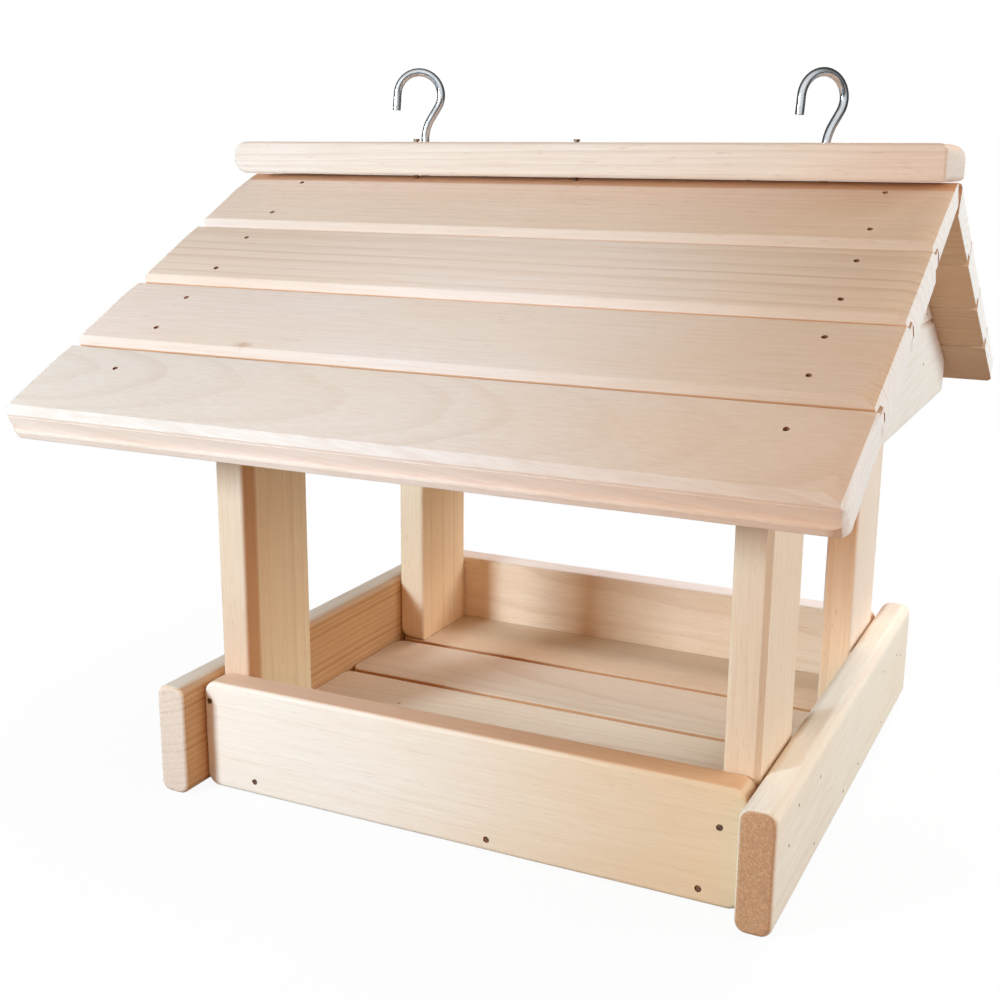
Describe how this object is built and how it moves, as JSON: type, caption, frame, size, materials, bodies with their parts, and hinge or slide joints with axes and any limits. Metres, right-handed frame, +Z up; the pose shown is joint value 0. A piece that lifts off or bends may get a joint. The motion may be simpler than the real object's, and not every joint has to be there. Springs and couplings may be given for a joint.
{
  "type": "bird feeder",
  "caption": "Hanging wooden bird feeder: slatted tray with low boards, corner posts, gables and a boarded saddle roof whose ridge lath carries screw hooks.",
  "frame": {"origin": "middle of the tray's underside, on the surface it stands on", "axes": "+Z up, X along the ridge, front towards -Y"},
  "size_m": [0.305, 0.3276, 0.2885],
  "materials": {
    "tray_pine": "planed and sanded, untreated",
    "post_pine": "planed and sanded, untreated",
    "roof_pine": "planed and sanded, untreated",
    "hook_zinc": "bright zinc plating",
    "nail_steel": "plain wire nail, dark in its pit"
  },
  "bodies": {
    "feeder": {"tray_front_board": "tray_pine", "tray_back_board": "tray_pine", "tray_left_board": "tray_pine", "tray_right_board": "tray_pine", "floor_slat_1": "tray_pine", "floor_slat_2": "tray_pine", "floor_slat_3": "tray_pine", "floor_slat_4": "tray_pine", "post_front_left": "post_pine", "post_front_right": "post_pine", "post_back_left": "post_pine", "post_back_right": "post_pine", "gable_lower_left": "roof_pine", "gable_upper_left": "roof_pine", "gable_lower_right": "roof_pine", "gable_upper_right": "roof_pine", "roof_front_slat_1": "roof_pine", "roof_front_slat_2": "roof_pine", "roof_front_slat_3": "roof_pine", "roof_front_slat_4": "roof_pine", "roof_back_slat_1": "roof_pine", "roof_back_slat_2": "roof_pine", "roof_back_slat_3": "roof_pine", "roof_back_slat_4": "roof_pine", "ridge_board": "roof_pine", "tray_nails": "nail_steel", "gable_nails": "nail_steel", "roof_nails": "nail_steel", "ridge_nails": "nail_steel"},
    "left_hook": {"hook_left": "hook_zinc"},
    "right_hook": {"hook_right": "hook_zinc"}
  },
  "joints": [
    {"name": "left_hook_turn", "type": "hinge", "parent": "feeder", "child": "left_hook", "pos_m": [-0.0697, 0, 0.25849], "axis": [0, 0, 1], "range_deg": [-180, 180]},
    {"name": "right_hook_turn", "type": "hinge", "parent": "feeder", "child": "right_hook", "pos_m": [0.1005, 0, 0.25849], "axis": [0, 0, 1], "range_deg": [-180, 180]}
  ]
}
